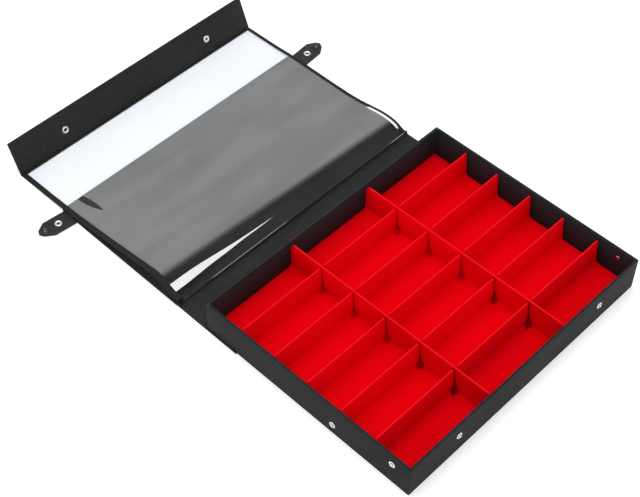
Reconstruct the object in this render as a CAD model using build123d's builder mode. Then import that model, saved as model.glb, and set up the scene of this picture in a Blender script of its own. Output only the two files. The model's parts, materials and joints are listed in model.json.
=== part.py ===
from build123d import *
from math import asin, cos, degrees, radians, sin
import os

os.makedirs("parts", exist_ok=True)

# Display case for eighteen pairs of sunglasses, open, with its two-layer soft lid laid out behind it.
# Millimetres, +Z up. The origin is the centre of the tray's underside; -Y is the front wall and +Y
# the side where the lid is hinged. A hinged panel is drawn flat or folded as it lies when open.

# Tray
tray_width = 485.0
tray_depth = 382.0
tray_height = 60.0
under_lining = 1.0
wrap_thickness = 0.8
wall_board = 2.4
inner_lining_thickness = 0.8
base_board_thickness = 3.0
strip_depth = 60.0

# Velvet insert
columns = 3
rows = 6
pad_thickness = 3.5
divider_top = 55.0
divider_leaf = 2.0
divider_flare = 12.0
divider_foot_edge = 0.6
divider_undercut = 4.0
divider_corner = 3.0
partition_leaf = 2.4
partition_top = 55.5
partition_rear_radius = 10.0
partition_front_radius = 4.0
velvet_gap = 0.4
partition_end_gap = 0.6

# Snaps
stud_flange_radius = 5.2
stud_flange_height = 0.9
stud_knob_radius = 2.0
stud_knob_height = 2.6
stud_knob_round = 0.6
stud_barrel_radius = 1.5
barrel_clearance = 0.1
rivet_cap_radius = 4.6
rivet_cap_height = 1.4
rivet_cap_round = 1.0
socket_radius = 5.9
socket_hole_radius = 2.6
socket_height = 1.3
socket_round = 0.4
snap_seat = 2.8
front_stud_left_inset = 96.5
front_stud_right_inset = 87.0
front_stud_z = 35.0
rear_stud_inset = 137.0
rear_stud_z = 18.7
fore_stud_inset = 31.0
fore_stud_z = 41.0

# Soft lid
lid_overhang = 2.0
fold_gap = 0.4
hinge_clearance = 0.3
rim_clearance = 0.6
skin_thickness = 0.5
spine_board_thickness = 1.0
spine_inset = 0.5
film_thickness = 0.5
binding_width = 9.0
binding_thickness = 1.6
binding_grip = 5.0
welt_thickness = 2.0
welt_height = 6.0
riser_height = 19.0
crease_bead_radius = 1.0
front_welt_depth = 10.0
cover_skin = 0.6
cover_board_thickness = 1.4
cover_overhang = 0.5
cover_margin = 16.3
cover_nose = 1.0

# Front flap
flap_length = 58.0
flap_board_thickness = 1.5
flap_lean = 69.0
flap_cap_height = 1.0

# Side tabs
tab_thickness = 1.0
tab_width = 33.0
tab_straight = 38.0
tab_taper_end = 52.0
tab_tip_width = 15.0
tab_length = 56.0
tab_lean = 4.0
tab_ring_reach = 21.5
tab_root_shift = -4.0
tab_cap_radius = 4.6
tab_lift = 0.8

# Planes of the walls and of the compartments
half_width = tray_width / 2
half_depth = tray_depth / 2
wall_thickness = wrap_thickness + wall_board + inner_lining_thickness
inner_half_width = half_width - wall_thickness
inner_half_depth = half_depth - wall_thickness
base_top = under_lining + base_board_thickness
pad_top = base_top + pad_thickness
board_top = tray_height - wrap_thickness
column_pitch = 2 * inner_half_width / columns
row_pitch = 2 * inner_half_depth / rows
front_stud_left_x = front_stud_left_inset - half_width
front_stud_right_x = half_width - front_stud_right_inset
rear_stud_y = rear_stud_inset - half_depth
fore_stud_y = fore_stud_inset - half_depth
lid_width = tray_width + 2 * lid_overhang
cover_width = lid_width + 2 * cover_overhang
lid_half = lid_width / 2

# Where the lid folds. Shut, the film lies just above the rim and the cover on top of the film.
spine_thickness = 2 * skin_thickness + spine_board_thickness
spine_fold_y = half_depth + fold_gap
film_shut_z = tray_height + rim_clearance + binding_thickness / 2
riser_y = spine_fold_y + film_shut_z - spine_thickness
crease_z = spine_thickness + riser_height
spine_end = riser_y + welt_thickness / 2
cover_thickness = 2 * cover_skin + cover_board_thickness
cover_fold_y = spine_end + hinge_clearance + cover_thickness / 2
cover_fold_z = cover_thickness / 2

# The film runs from the crease above the seam down to the flap, whose inner face then stands just
# clear of the front wall when the lid is shut.
film_run = spine_fold_y - riser_height + half_depth + snap_seat
film_front_z = binding_thickness / 2
film_slope = degrees(asin((crease_z - film_front_z) / film_run))
flap_fold_y = riser_y + film_run * cos(radians(film_slope)) + film_front_z * sin(radians(film_slope))
flap_fold_z = film_front_z + binding_thickness / 2 * cos(radians(film_slope))
flap_thickness = 2 * skin_thickness + flap_board_thickness
flap_socket_reach = film_shut_z - binding_thickness / 2 - front_stud_z

# The tabs start between the cover's layers and fold down just clear of the side walls' studs.
tab_fold_x = half_width + snap_seat
tab_top_z = tab_lift + tab_thickness
tab_shut_z = spine_thickness + cover_fold_y - tab_top_z + cover_fold_z - spine_fold_y
tab_tip_reach = tab_shut_z - rear_stud_z
shut_origin_y = spine_fold_y - cover_fold_z + spine_thickness
tab_snap_y = cover_fold_y + shut_origin_y - rear_stud_y
tab_root_y = tab_snap_y + tab_root_shift
cover_length = tab_snap_y + cover_margin - cover_fold_y

film_plane = Plane(
    origin=(0, riser_y, crease_z),
    x_dir=(1, 0, 0),
    z_dir=(0, sin(radians(film_slope)), cos(radians(film_slope))),
)
flap_plane = Plane(
    origin=(0, flap_fold_y, flap_fold_z),
    x_dir=(1, 0, 0),
    z_dir=(0, -sin(radians(flap_lean)), cos(radians(flap_lean))),
)

print("spine fold", spine_fold_y, spine_thickness)
print("cover fold", cover_fold_y, cover_fold_z)
print("film crease", riser_y, crease_z, "slope", film_slope)
print("flap fold", flap_fold_y, flap_fold_z)
print("tab fold", tab_fold_x, tab_top_z, "tab centre", tab_snap_y)


# Each wall stud is a place on a wall's outer face and the way that face looks.
def wall_plane(x, y, z, facing):
    return Plane(origin=(x, y, z), x_dir=(facing[1], -facing[0], 0), z_dir=facing)


front_stud_planes = [
    wall_plane(front_stud_left_x, -half_depth, front_stud_z, (0, -1, 0)),
    wall_plane(front_stud_right_x, -half_depth, front_stud_z, (0, -1, 0)),
]
left_stud_planes = [
    wall_plane(-half_width, rear_stud_y, rear_stud_z, (-1, 0, 0)),
    wall_plane(-half_width, fore_stud_y, fore_stud_z, (-1, 0, 0)),
]
right_stud_planes = [
    wall_plane(half_width, rear_stud_y, rear_stud_z, (1, 0, 0)),
    wall_plane(half_width, fore_stud_y, fore_stud_z, (1, 0, 0)),
]


# Drills the barrels' holes through whatever wall is being built.
def drill_stud_holes(planes):
    for plane in planes:
        with BuildSketch(plane) as hole:
            Circle(stud_barrel_radius + barrel_clearance)
        extrude(hole.sketch, amount=-wall_thickness, mode=Mode.SUBTRACT)


# A stud seen from outside: flange, knob, and the barrel that goes through the wall.
def make_stud(plane):
    with BuildSketch(plane) as flange:
        Circle(stud_flange_radius)
    extrude(flange.sketch, amount=stud_flange_height)
    with BuildSketch(plane) as knob:
        Circle(stud_knob_radius)
    extrude(knob.sketch, amount=stud_knob_height)
    outward = Axis(plane.origin, plane.z_dir)
    fillet(edges(Select.LAST).sort_by(outward)[-1], stud_knob_round)
    with BuildSketch(plane) as barrel:
        Circle(stud_barrel_radius)
    extrude(barrel.sketch, amount=-wall_thickness)


# A round cap that stands on the plane, its top edge rounded.
def make_cap(plane, radius, height, rounding):
    with BuildSketch(plane) as disc:
        Circle(radius)
    extrude(disc.sketch, amount=height)
    outward = Axis(plane.origin, plane.z_dir)
    fillet(edges(Select.LAST).sort_by(outward)[-1], rounding)


# Base and lining
with BuildPart() as base_board:
    with BuildSketch(Plane.XY.offset(under_lining)):
        Rectangle(
            tray_width - 2 * (wrap_thickness + wall_board),
            tray_depth - 2 * (wrap_thickness + wall_board),
        )
    extrude(amount=base_board_thickness)
base_board.part.label = "base_board"
export_step(base_board.part, "parts/base_board.step")

with BuildPart() as bottom_lining:
    with BuildSketch(Plane.XY):
        with Locations((0, -strip_depth / 2)):
            Rectangle(tray_width, tray_depth - strip_depth)
    extrude(amount=under_lining)
bottom_lining.part.label = "bottom_lining"
export_step(bottom_lining.part, "parts/bottom_lining.step")

# The lid's leatherette is glued under the tray's rear and shows as a thin lip at each side.
with BuildPart() as hinge_strip:
    with BuildSketch(Plane.XY):
        with Locations((0, half_depth - strip_depth / 2)):
            Rectangle(lid_width, strip_depth)
    extrude(amount=under_lining)
hinge_strip.part.label = "hinge_strip"
export_step(hinge_strip.part, "parts/hinge_strip.step")

# Wall boards
long_board = tray_width - 2 * wrap_thickness
short_board = tray_depth - 2 * (wrap_thickness + wall_board)
board_height = board_top - under_lining
board_middle_y = half_depth - wrap_thickness - wall_board / 2
board_middle_x = half_width - wrap_thickness - wall_board / 2

with BuildPart() as front_board:
    with BuildSketch(Plane.XY.offset(under_lining)):
        with Locations((0, -board_middle_y)):
            Rectangle(long_board, wall_board)
    extrude(amount=board_height)
    drill_stud_holes(front_stud_planes)
front_board.part.label = "front_board"
export_step(front_board.part, "parts/front_board.step")

with BuildPart() as rear_board:
    with BuildSketch(Plane.XY.offset(under_lining)):
        with Locations((0, board_middle_y)):
            Rectangle(long_board, wall_board)
    extrude(amount=board_height)
rear_board.part.label = "rear_board"
export_step(rear_board.part, "parts/rear_board.step")

with BuildPart() as left_board:
    with BuildSketch(Plane.XY.offset(under_lining)):
        with Locations((-board_middle_x, 0)):
            Rectangle(wall_board, short_board)
    extrude(amount=board_height)
    drill_stud_holes(left_stud_planes)
left_board.part.label = "left_board"
export_step(left_board.part, "parts/left_board.step")

with BuildPart() as right_board:
    with BuildSketch(Plane.XY.offset(under_lining)):
        with Locations((board_middle_x, 0)):
            Rectangle(wall_board, short_board)
    extrude(amount=board_height)
    drill_stud_holes(right_stud_planes)
right_board.part.label = "right_board"
export_step(right_board.part, "parts/right_board.step")

# Leatherette round the outside and over the rim
with BuildPart() as outer_wrap:
    with BuildSketch(Plane.XY.offset(under_lining)):
        Rectangle(tray_width, tray_depth)
        Rectangle(long_board, tray_depth - 2 * wrap_thickness, mode=Mode.SUBTRACT)
    extrude(amount=board_height)
    with BuildSketch(Plane.XY.offset(board_top)):
        Rectangle(tray_width, tray_depth)
        Rectangle(2 * inner_half_width, 2 * inner_half_depth, mode=Mode.SUBTRACT)
    extrude(amount=wrap_thickness)
    drill_stud_holes(front_stud_planes + left_stud_planes + right_stud_planes)
outer_wrap.part.label = "outer_wrap"
export_step(outer_wrap.part, "parts/outer_wrap.step")

# Black lining of the inner faces
with BuildPart() as inner_lining:
    with BuildSketch(Plane.XY.offset(base_top)):
        Rectangle(
            2 * (inner_half_width + inner_lining_thickness),
            2 * (inner_half_depth + inner_lining_thickness),
        )
        Rectangle(2 * inner_half_width, 2 * inner_half_depth, mode=Mode.SUBTRACT)
    extrude(amount=board_top - base_top)
    drill_stud_holes(front_stud_planes + left_stud_planes + right_stud_planes)
inner_lining.part.label = "inner_lining"
export_step(inner_lining.part, "parts/inner_lining.step")

# Snap studs on the walls and the rivet caps behind them
with BuildPart() as front_studs:
    for stud_plane in front_stud_planes:
        make_stud(stud_plane)
front_studs.part.label = "front_studs"
export_step(front_studs.part, "parts/front_studs.step")

with BuildPart() as side_studs:
    for stud_plane in left_stud_planes + right_stud_planes:
        make_stud(stud_plane)
side_studs.part.label = "side_studs"
export_step(side_studs.part, "parts/side_studs.step")

with BuildPart() as rivet_caps:
    for stud_plane in front_stud_planes + left_stud_planes + right_stud_planes:
        inward = Plane(
            origin=stud_plane.offset(-wall_thickness).origin,
            x_dir=stud_plane.x_dir,
            z_dir=-stud_plane.z_dir,
        )
        make_cap(inward, rivet_cap_radius, rivet_cap_height, rivet_cap_round)
rivet_caps.part.label = "rivet_caps"
export_step(rivet_caps.part, "parts/rivet_caps.step")

# Velvet insert: a padded floor, two long partitions and five pleats in each column
partition_x = [column_pitch * (k + 1) - inner_half_width for k in range(columns - 1)]
column_names = ["left", "middle", "right"]
column_low = [-inner_half_width] + [x + partition_leaf / 2 for x in partition_x]
column_high = [x - partition_leaf / 2 for x in partition_x] + [inner_half_width]
divider_y = [row_pitch * (k + 1) - inner_half_depth for k in range(rows - 1)]

for name, low, high in zip(column_names, column_low, column_high):
    with BuildPart() as floor_pad:
        with BuildSketch(Plane.XY.offset(base_top)):
            with Locations(((low + high) / 2, 0)):
                Rectangle(high - low - 2 * velvet_gap, 2 * (inner_half_depth - velvet_gap))
        extrude(amount=pad_thickness)
    floor_pad.part.label = f"floor_pad_{name}"
    export_step(floor_pad.part, f"parts/floor_pad_{name}.step")

for name, x in zip(["left", "right"], partition_x):
    with BuildPart() as partition:
        with BuildSketch(Plane.YZ.offset(x - partition_leaf / 2)):
            with BuildLine():
                rear = inner_half_depth - partition_end_gap
                Polyline(
                    (-rear, base_top),
                    (rear, base_top),
                    (rear, partition_top),
                    (-rear, partition_top),
                    close=True,
                )
            make_face()
            fillet(vertices().group_by(Axis.Y)[-1].sort_by(Axis.X)[-1], partition_rear_radius)
            fillet(vertices().group_by(Axis.Y)[-1].sort_by(Axis.X)[0], partition_front_radius)
        extrude(amount=partition_leaf)
    partition.part.label = f"partition_{name}"
    export_step(partition.part, f"parts/partition_{name}.step")


divider_foot = pad_top + divider_foot_edge
divider_shoulder = divider_top - divider_leaf / 2
flare_turn = divider_flare * (1 - cos(radians(45)))
divider_reach = divider_leaf / 2 + divider_flare


# One flank of a pleat, from the floor up to the leaf. side is 1 for the rear flank, -1 for the front.
def flank_points(y, side):
    leaf = y + side * divider_leaf / 2
    return [
        (y + side * divider_reach, divider_foot),
        (leaf + side * flare_turn, divider_foot + flare_turn),
        (leaf, divider_foot + divider_flare),
    ]


# A pleat is a thin leaf with a rounded top whose flanks sweep out onto the floor in a hollow curve.
# Its ends lean in towards the floor, and its top corners are rounded.
for name, low, high in zip(column_names, column_low, column_high):
    for number, y in enumerate(divider_y, start=1):
        end_low = low + velvet_gap
        end_high = high - velvet_gap
        rear_flank = flank_points(y, 1)
        front_flank = flank_points(y, -1)
        with BuildPart() as divider:
            with BuildSketch(Plane.YZ.offset(end_low)):
                with BuildLine():
                    ThreePointArc(*rear_flank)
                    Line(rear_flank[-1], (y + divider_leaf / 2, divider_shoulder))
                    ThreePointArc(
                        (y + divider_leaf / 2, divider_shoulder),
                        (y, divider_top),
                        (y - divider_leaf / 2, divider_shoulder),
                    )
                    Line((y - divider_leaf / 2, divider_shoulder), front_flank[-1])
                    ThreePointArc(*front_flank)
                    Polyline(
                        front_flank[0],
                        (y - divider_reach, pad_top),
                        (y + divider_reach, pad_top),
                        rear_flank[0],
                    )
                make_face()
            extrude(amount=end_high - end_low)
            with BuildSketch(Plane.XZ.offset(-y)):
                with BuildLine():
                    Polyline(
                        (end_low + divider_undercut, pad_top),
                        (end_high - divider_undercut, pad_top),
                        (end_high, divider_top),
                        (end_low, divider_top),
                        close=True,
                    )
                make_face()
                fillet(vertices().group_by(Axis.Y)[-1], divider_corner)
            extrude(amount=divider_reach, both=True, mode=Mode.INTERSECT)
        divider.part.label = f"divider_{name}_{number}"
        export_step(divider.part, f"parts/divider_{name}_{number}.step")

# Spine of the lid: two skins on a thin board
spine_start = spine_fold_y + fold_gap
spine_middle = (spine_start + spine_end) / 2
spine_depth = spine_end - spine_start

with BuildPart() as spine_outer_skin:
    with BuildSketch(Plane.XY):
        with Locations((0, spine_middle)):
            Rectangle(lid_width, spine_depth)
    extrude(amount=skin_thickness)
spine_outer_skin.part.label = "spine_outer_skin"
export_step(spine_outer_skin.part, "parts/spine_outer_skin.step")

with BuildPart() as spine_board:
    with BuildSketch(Plane.XY.offset(skin_thickness)):
        with Locations((0, spine_middle)):
            Rectangle(lid_width - 2 * spine_inset, spine_depth)
    extrude(amount=spine_board_thickness)
spine_board.part.label = "spine_board"
export_step(spine_board.part, "parts/spine_board.step")

with BuildPart() as spine_inner_skin:
    with BuildSketch(Plane.XY.offset(skin_thickness + spine_board_thickness)):
        with Locations((0, spine_middle)):
            Rectangle(lid_width, spine_depth)
    extrude(amount=skin_thickness)
spine_inner_skin.part.label = "spine_inner_skin"
export_step(spine_inner_skin.part, "parts/spine_inner_skin.step")

# Rear of the film: it stands up from the seam, held in a welt and edged with binding
film_half = lid_half - binding_width + binding_grip
riser_top = crease_z - crease_bead_radius - hinge_clearance
welt_top = spine_thickness + welt_height

with BuildPart() as film_riser:
    with BuildSketch(Plane.XY.offset(spine_thickness)):
        with Locations((0, riser_y)):
            Rectangle(2 * film_half, film_thickness)
    extrude(amount=riser_top - spine_thickness)
film_riser.part.label = "film_riser"
export_step(film_riser.part, "parts/film_riser.step")

with BuildPart() as rear_welt:
    with BuildSketch(Plane.XY.offset(spine_thickness)):
        with Locations((0, riser_y)):
            Rectangle(lid_width, welt_thickness)
            Rectangle(2 * film_half, film_thickness, mode=Mode.SUBTRACT)
    extrude(amount=welt_height)
rear_welt.part.label = "rear_welt"
export_step(rear_welt.part, "parts/rear_welt.step")

with BuildPart() as riser_bindings:
    with BuildSketch(Plane.XY.offset(welt_top)):
        with Locations((0, riser_y)):
            Rectangle(lid_width, binding_thickness)
            Rectangle(lid_width - 2 * binding_width, binding_thickness, mode=Mode.SUBTRACT)
            Rectangle(2 * film_half, film_thickness, mode=Mode.SUBTRACT)
    extrude(amount=riser_top - welt_top)
riser_bindings.part.label = "riser_bindings"
export_step(riser_bindings.part, "parts/riser_bindings.step")

# The bead along the crease, where the film turns over towards the front
with BuildPart() as film_crease:
    with BuildSketch(Plane.YZ.offset(-film_half)):
        with Locations((riser_y, crease_z)):
            Circle(crease_bead_radius)
    extrude(amount=2 * film_half)
film_crease.part.label = "film_crease"
export_step(film_crease.part, "parts/film_crease.step")

# Clear film, its two side bindings and the welt that joins it to the flap
film_start = crease_bead_radius + hinge_clearance
welt_far = film_run - hinge_clearance
welt_near = welt_far - front_welt_depth
film_end = welt_near + binding_grip

with BuildPart() as window_film:
    with BuildSketch(film_plane.offset(-film_thickness / 2)):
        with Locations((0, (film_start + film_end) / 2)):
            Rectangle(2 * film_half, film_end - film_start)
    extrude(amount=film_thickness)
window_film.part.label = "window_film"
export_step(window_film.part, "parts/window_film.step")

binding_middle_x = lid_half - binding_width / 2
for name, side in (("left", -1), ("right", 1)):
    with BuildPart() as binding:
        with BuildSketch(film_plane.offset(-binding_thickness / 2)):
            with Locations((side * binding_middle_x, (film_start + welt_near) / 2)):
                Rectangle(binding_width, welt_near - film_start)
        extrude(amount=binding_thickness)
        with BuildSketch(film_plane.offset(-film_thickness / 2)):
            with Locations((0, (film_start + welt_near) / 2)):
                Rectangle(2 * film_half, welt_near - film_start)
        extrude(amount=film_thickness, mode=Mode.SUBTRACT)
    binding.part.label = f"{name}_binding"
    export_step(binding.part, f"parts/{name}_binding.step")

with BuildPart() as front_welt:
    with BuildSketch(film_plane.offset(-binding_thickness / 2)):
        with Locations((0, (welt_near + welt_far) / 2)):
            Rectangle(lid_width, front_welt_depth)
    extrude(amount=binding_thickness)
    with BuildSketch(film_plane.offset(-film_thickness / 2)):
        with Locations((0, (welt_near + film_end) / 2)):
            Rectangle(2 * film_half, film_end - welt_near)
    extrude(amount=film_thickness, mode=Mode.SUBTRACT)
front_welt.part.label = "front_welt"
export_step(front_welt.part, "parts/front_welt.step")

# Front flap: a stiff board between two skins, with two snap sockets
flap_middle = (hinge_clearance + flap_length) / 2
flap_depth = flap_length - hinge_clearance
flap_sockets_at = [(x, flap_socket_reach) for x in (front_stud_left_x, front_stud_right_x)]

with BuildPart() as flap_inner_skin:
    with BuildSketch(flap_plane.offset(-skin_thickness)):
        with Locations((0, flap_middle)):
            Rectangle(lid_width, flap_depth)
    extrude(amount=skin_thickness)
flap_inner_skin.part.label = "flap_inner_skin"
export_step(flap_inner_skin.part, "parts/flap_inner_skin.step")

with BuildPart() as flap_board:
    with BuildSketch(flap_plane.offset(-skin_thickness - flap_board_thickness)):
        with Locations((0, flap_middle)):
            Rectangle(lid_width - 2 * spine_inset, flap_depth)
    extrude(amount=flap_board_thickness)
flap_board.part.label = "flap_board"
export_step(flap_board.part, "parts/flap_board.step")

with BuildPart() as flap_outer_skin:
    with BuildSketch(flap_plane.offset(-flap_thickness)):
        with Locations((0, flap_middle)):
            Rectangle(lid_width, flap_depth)
    extrude(amount=skin_thickness)
flap_outer_skin.part.label = "flap_outer_skin"
export_step(flap_outer_skin.part, "parts/flap_outer_skin.step")

with BuildPart() as flap_sockets:
    with BuildSketch(flap_plane):
        with Locations(*flap_sockets_at):
            Circle(socket_radius)
            Circle(socket_hole_radius, mode=Mode.SUBTRACT)
    extrude(amount=socket_height)
flap_sockets.part.label = "flap_sockets"
export_step(flap_sockets.part, "parts/flap_sockets.step")

with BuildPart() as flap_caps:
    for x, reach in flap_sockets_at:
        outside = Plane(
            origin=flap_plane.from_local_coords((x, reach, -flap_thickness)),
            x_dir=flap_plane.x_dir,
            z_dir=-flap_plane.z_dir,
        )
        make_cap(outside, socket_radius, flap_cap_height, socket_round)
flap_caps.part.label = "flap_caps"
export_step(flap_caps.part, "parts/flap_caps.step")

# Cover sheet: two skins on a thin board, whose rear edge is a rounded nose in the fold
cover_middle = cover_fold_y + cover_length / 2

with BuildPart() as cover_outer_skin:
    with BuildSketch(Plane.XY):
        with Locations((0, cover_middle)):
            Rectangle(cover_width, cover_length)
    extrude(amount=cover_skin)
cover_outer_skin.part.label = "cover_outer_skin"
export_step(cover_outer_skin.part, "parts/cover_outer_skin.step")

with BuildPart() as cover_board:
    with BuildSketch(Plane.XY.offset(cover_skin)):
        with Locations((0, cover_middle - cover_nose / 2)):
            Rectangle(cover_width - 2 * spine_inset, cover_length + cover_nose)
    extrude(amount=cover_board_thickness)
cover_board.part.label = "cover_board"
export_step(cover_board.part, "parts/cover_board.step")

with BuildPart() as cover_inner_skin:
    with BuildSketch(Plane.XY.offset(cover_skin + cover_board_thickness)):
        with Locations((0, cover_middle)):
            Rectangle(cover_width, cover_length)
    extrude(amount=cover_skin)
cover_inner_skin.part.label = "cover_inner_skin"
export_step(cover_inner_skin.part, "parts/cover_inner_skin.step")

# Side tabs: straps with a blunt point, a bright snap near the root and a dark one at the tip

# A point of the tab's outline: reach from its fold, and place across it, which leans with the reach.
def tab_point(side, reach, across):
    lean = tab_lean * reach / tab_tip_reach
    return (side * (tab_fold_x + reach), tab_root_y + across + lean)


for name, side in (("left", -1), ("right", 1)):
    ring_at = tab_point(side, tab_ring_reach, 0)
    tip_at = tab_point(side, tab_tip_reach, 0)

    with BuildPart() as tab:
        with BuildSketch(Plane.XY.offset(tab_lift)):
            with BuildLine():
                Polyline(
                    tab_point(side, hinge_clearance, -tab_width / 2),
                    tab_point(side, tab_straight, -tab_width / 2),
                    tab_point(side, tab_taper_end, -tab_tip_width / 2),
                    tab_point(side, tab_length, 0),
                    tab_point(side, tab_taper_end, tab_tip_width / 2),
                    tab_point(side, tab_straight, tab_width / 2),
                    tab_point(side, hinge_clearance, tab_width / 2),
                    close=True,
                )
            make_face()
        extrude(amount=tab_thickness)
    tab.part.label = f"{name}_tab"
    export_step(tab.part, f"parts/{name}_tab.step")

    with BuildPart() as ring_snap:
        with BuildSketch(Plane.XY.offset(tab_top_z)):
            with Locations(ring_at):
                Circle(socket_radius)
                Circle(socket_hole_radius, mode=Mode.SUBTRACT)
        extrude(amount=socket_height)
    ring_snap.part.label = f"{name}_tab_ring_snap"
    export_step(ring_snap.part, f"parts/{name}_tab_ring_snap.step")

    with BuildPart() as tip_snap:
        with BuildSketch(Plane.XY.offset(tab_top_z)):
            with Locations(tip_at):
                Circle(socket_radius)
                Circle(socket_hole_radius, mode=Mode.SUBTRACT)
        extrude(amount=socket_height)
    tip_snap.part.label = f"{name}_tab_tip_snap"
    export_step(tip_snap.part, f"parts/{name}_tab_tip_snap.step")

    with BuildPart() as tab_caps:
        with BuildSketch(Plane.XY):
            with Locations(ring_at, tip_at):
                Circle(tab_cap_radius)
        extrude(amount=tab_lift)
    tab_caps.part.label = f"{name}_tab_caps"
    export_step(tab_caps.part, f"parts/{name}_tab_caps.step")
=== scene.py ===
import json
import math
import random
from contextlib import contextmanager

import bmesh
import bpy
from mathutils import Matrix, Vector, noise


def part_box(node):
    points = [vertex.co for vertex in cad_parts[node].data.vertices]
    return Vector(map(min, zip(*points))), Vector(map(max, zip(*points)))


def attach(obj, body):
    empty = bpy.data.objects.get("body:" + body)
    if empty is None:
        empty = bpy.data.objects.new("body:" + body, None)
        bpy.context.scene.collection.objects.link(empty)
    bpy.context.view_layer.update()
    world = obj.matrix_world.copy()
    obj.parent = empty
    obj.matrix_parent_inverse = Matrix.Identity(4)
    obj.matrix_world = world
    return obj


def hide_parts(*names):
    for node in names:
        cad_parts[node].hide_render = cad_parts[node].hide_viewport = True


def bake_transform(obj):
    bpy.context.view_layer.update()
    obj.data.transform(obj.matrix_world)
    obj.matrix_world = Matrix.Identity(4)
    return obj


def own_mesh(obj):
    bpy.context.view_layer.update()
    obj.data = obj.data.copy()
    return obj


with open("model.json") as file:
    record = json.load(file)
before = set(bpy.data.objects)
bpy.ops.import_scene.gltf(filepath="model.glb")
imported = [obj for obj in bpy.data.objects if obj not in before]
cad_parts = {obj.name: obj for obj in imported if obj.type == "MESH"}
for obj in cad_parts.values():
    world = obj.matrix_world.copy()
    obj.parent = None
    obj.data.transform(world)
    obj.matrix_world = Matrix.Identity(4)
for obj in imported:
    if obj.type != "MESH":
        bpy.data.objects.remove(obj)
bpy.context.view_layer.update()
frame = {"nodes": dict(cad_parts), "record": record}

MM = 0.001

# Sizes in mm from the middle of the tray's underside, and angles
TRAY_X, TRAY_Y, TRAY_TOP = 242.5, 191.0, 60.0
TRAY_FOOT = 1.0
RIM = 3.2
WRAP = 0.8
INNER_X, INNER_Y = 238.5, 187.0
BASE_TOP, PAD_TOP = 4.0, 7.5
PAD_X, PAD_Y = 78.5, 186.6
PAD_REST, PAD_SWELL = 7.2, 0.45
HINGE_STRIP_START = 131
LID_X = 244.5
COVER_X = 245.0
FILM_X = 240.5
BINDING = 9.0
BINDING_THICK = 1.5
SPINE_START, SPINE_END = 191.8, 251.8
COVER_START, COVER_END = 253.4, 515.8
CREASE_Y, CREASE_Z = 250.8, 21.0
WELT_TOP = 8.0
# Span of the welt's top seam, where the painted glint is dim, and the depth of the glint strips
SEAM_GLINT_SPAN, EDGE_GLINT_Y = (-27, 207), (250.2, 250.7)
FILM_FRONT = 614.5
FILM_SLOPE = math.radians(3.1621)
FLAP_FOLD = (0, 616.487, 1.599)
FLAP_LEAN = math.radians(69)
FRONT_SNAPS = (-146.0, 155.5)
FRONT_SNAP_Z = 35.0
SIDE_SNAPS = ((-54.0, 18.7), (-160.0, 41.0))
TAB_TOP = 1.8
STITCH_START, STITCH_RUN, STITCH_PITCH, STITCH_INSET = 256, 352, 3.2, 1.3
SLACK_START, SLACK_END, SLACK_RIPPLE = 262, 600, 0.9
ARCH_START, ARCH_END = 256, 338
SIDES = (("left", -1), ("right", 1))

# Lengths in mm along the film from its crease, and along the flap from its fold
FRONT_WELT = (362.6, 365.9)
FLAP_START, FLAP_END, FLAP_THICK = 0.3, 58.0, 2.5
FLAP_SNAP_REACH = 25.6

# Each column of the insert: its middle, its floor's width and its dividers' length
COLUMNS = {
    "left": (-159.6, 157.0, 156.4), "middle": (0.0, 155.8, 155.2), "right": (159.6, 157.0, 156.4),
}
PARTITION_X, PARTITION_HALF, PARTITION_END, PARTITION_TOP = 79.5, 1.2, 186.4, 55.5
DIVIDER_ROWS, ROW_PITCH = 5, 62.3333
DIVIDER_TOP, DIVIDER_LEAF, DIVIDER_FLARE = 55.0, 2.0, 6.0
END_GAP, END_UNDERCUT = 1.9, -1.4
PARTITION_FLARE = 4.0
PLEAT_SPREAD = 2.6

# The open window slackens into an arch: heights of its left and right edge.
LEFT_ARCH = [
    (250.8, 16), (254, 13.6), (258.5, 12.2), (265.3, 14.3), (275.1, 18.5),
    (285.7, 24.2), (301.7, 28.4), (320.3, 26.6), (351.9, 22.2), (388.8, 16.9),
    (426.3, 12.2), (479.2, 6.6), (511.3, 4.4), (545, 2.6), (618, 1.0),
]
RIGHT_ARCH = [
    (250.8, 7), (254, 4.9), (258, 4.9), (262, 6.8), (273, 12), (288, 14.5),
    (305, 14), (328, 10.5), (354, 6.4), (385, 4.4), (515, 4.2), (540, 2.6), (618, 1.0),
]


# Modelling
def only(obj):
    """Selects one object and makes it active."""
    bpy.ops.object.select_all(action="DESELECT")
    obj.select_set(True)
    bpy.context.view_layer.objects.active = obj


def settle(obj, name):
    """Names a new object and puts its place, turn and size into its mesh."""
    obj.name = obj.data.name = name
    only(obj)
    bpy.ops.object.transform_apply(location=True, rotation=True, scale=True)
    return obj


@contextmanager
def editing(obj):
    """Edit mode on one object."""
    only(obj)
    bpy.ops.object.mode_set(mode="EDIT")
    yield
    bpy.ops.object.mode_set(mode="OBJECT")


def pick(obj, kind, rule):
    """In edit mode, selects the verts, edges or faces that a rule accepts."""
    bpy.ops.mesh.select_mode(type={"verts": "VERT", "edges": "EDGE", "faces": "FACE"}[kind])
    bpy.ops.mesh.select_all(action="DESELECT")
    mesh = bmesh.from_edit_mesh(obj.data)
    for part in getattr(mesh, kind):
        if rule(part):
            part.select_set(True)
    bmesh.update_edit_mesh(obj.data)


def facing(axis, sign):
    """Accepts faces that look along an axis."""
    return lambda face: face.normal[axis] * sign > 0.9


def running(axis, shortest=0.0):
    """Accepts edges that run along an axis."""
    def rule(edge):
        span = edge.verts[0].co - edge.verts[1].co
        return span.length > shortest * MM and abs(span[axis]) > 0.999 * span.length
    return rule


def block(name, low, high):
    """A box between two corners."""
    bpy.ops.object.select_all(action="DESELECT")
    middle = [(a + b) / 2 * MM for a, b in zip(low, high)]
    bpy.ops.mesh.primitive_cube_add(size=1, location=middle)
    obj = bpy.context.object
    obj.scale = [(b - a) * MM for a, b in zip(low, high)]
    return settle(obj, name)


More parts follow.
